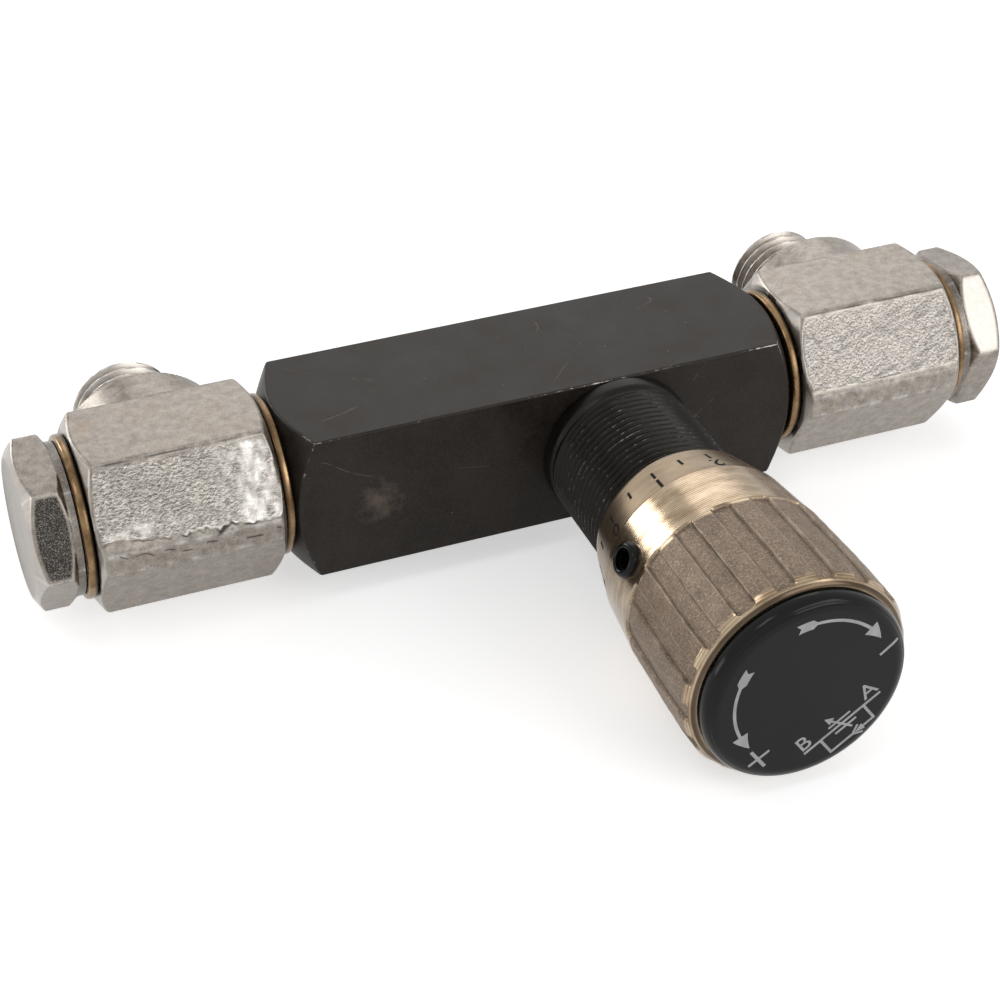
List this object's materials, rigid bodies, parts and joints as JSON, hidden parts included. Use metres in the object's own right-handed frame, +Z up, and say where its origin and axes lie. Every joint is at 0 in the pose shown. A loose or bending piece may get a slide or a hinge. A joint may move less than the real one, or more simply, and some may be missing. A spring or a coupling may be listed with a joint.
{
  "type": "hydraulic control valve",
  "caption": "In-line hydraulic throttle and check valve: square bar body, threaded neck with a graduated adjusting knob, and a banjo fitting with a threaded stem on each end.",
  "frame": {"origin": "middle of the body's flat underside", "axes": "+X along the flow axis towards the end that the knob is nearer to, knob axis along -Y, fitting stems along +Y, +Z up from the underside"},
  "size_m": [0.1318, 0.0843, 0.028],
  "materials": {
    "black_steel": "black phosphated, satin",
    "bright_steel": "turned, bare",
    "zinc_steel": "forged and zinc plated",
    "bronze": "cast, turned at the collar",
    "brass_plated_steel": "yellow passivated",
    "rubber": "moulded",
    "white_plastic": "turned",
    "black_plastic": "moulded, glossy"
  },
  "bodies": {
    "valve": {"valve_body": "black_steel", "neck_bush": "black_steel", "bush_o_ring": "rubber", "spindle_stop_ring": "black_steel", "check_spring": "bright_steel", "banjo_bolt_left": "zinc_steel", "banjo_bolt_right": "zinc_steel", "seal_ring_left_inner": "brass_plated_steel", "seal_ring_left_outer": "brass_plated_steel", "seal_ring_right_inner": "brass_plated_steel", "seal_ring_right_outer": "brass_plated_steel", "seal_lip_left_inner": "rubber", "seal_lip_left_outer": "rubber", "seal_lip_right_inner": "rubber", "seal_lip_right_outer": "rubber"},
    "needle": {"throttle_needle": "bright_steel"},
    "knob": {"spindle": "bright_steel", "spindle_o_ring": "rubber", "spindle_backup_ring": "white_plastic", "adjusting_knob": "bronze", "knob_washer": "bright_steel", "knob_screw": "bright_steel", "knob_cap": "black_plastic"},
    "lock_screw": {"knob_lock_screw": "black_steel"},
    "poppet": {"check_poppet": "bright_steel"},
    "banjo_left": {"banjo_body_left": "zinc_steel"},
    "banjo_right": {"banjo_body_right": "zinc_steel"}
  },
  "joints": [
    {"name": "knob_travel", "type": "slide", "parent": "valve", "child": "needle", "axis": [0, 1, 0], "range_m": [-0.003, 0.002]},
    {"name": "knob_turn", "type": "hinge", "parent": "needle", "child": "knob", "pos_m": [0.0087, 0, 0.01], "axis": [0, 1, 0], "range_deg": [-1080, 720]},
    {"name": "lock_screw_turn", "type": "hinge", "parent": "knob", "child": "lock_screw", "pos_m": [0.0087, -0.03935, 0.01], "axis": [-0.9063, 0, 0.4226], "range_deg": [0, 360]},
    {"name": "check_lift", "type": "slide", "parent": "valve", "child": "poppet", "axis": [0, -1, 0], "range_m": [0, 0.0015], "stiffness_N_per_m": 400, "springref_m": -0.00375, "deforming": ["check_spring"]},
    {"name": "banjo_left_swivel", "type": "hinge", "parent": "valve", "child": "banjo_left", "pos_m": [0, 0, 0.01], "axis": [-1, 0, 0], "continuous": true},
    {"name": "banjo_right_swivel", "type": "hinge", "parent": "valve", "child": "banjo_right", "pos_m": [0, 0, 0.01], "axis": [1, 0, 0], "continuous": true}
  ],
  "couplings": [
    {"joint": "knob_travel", "follows": "knob_turn", "m_per_rad": 0.00015915}
  ]
}
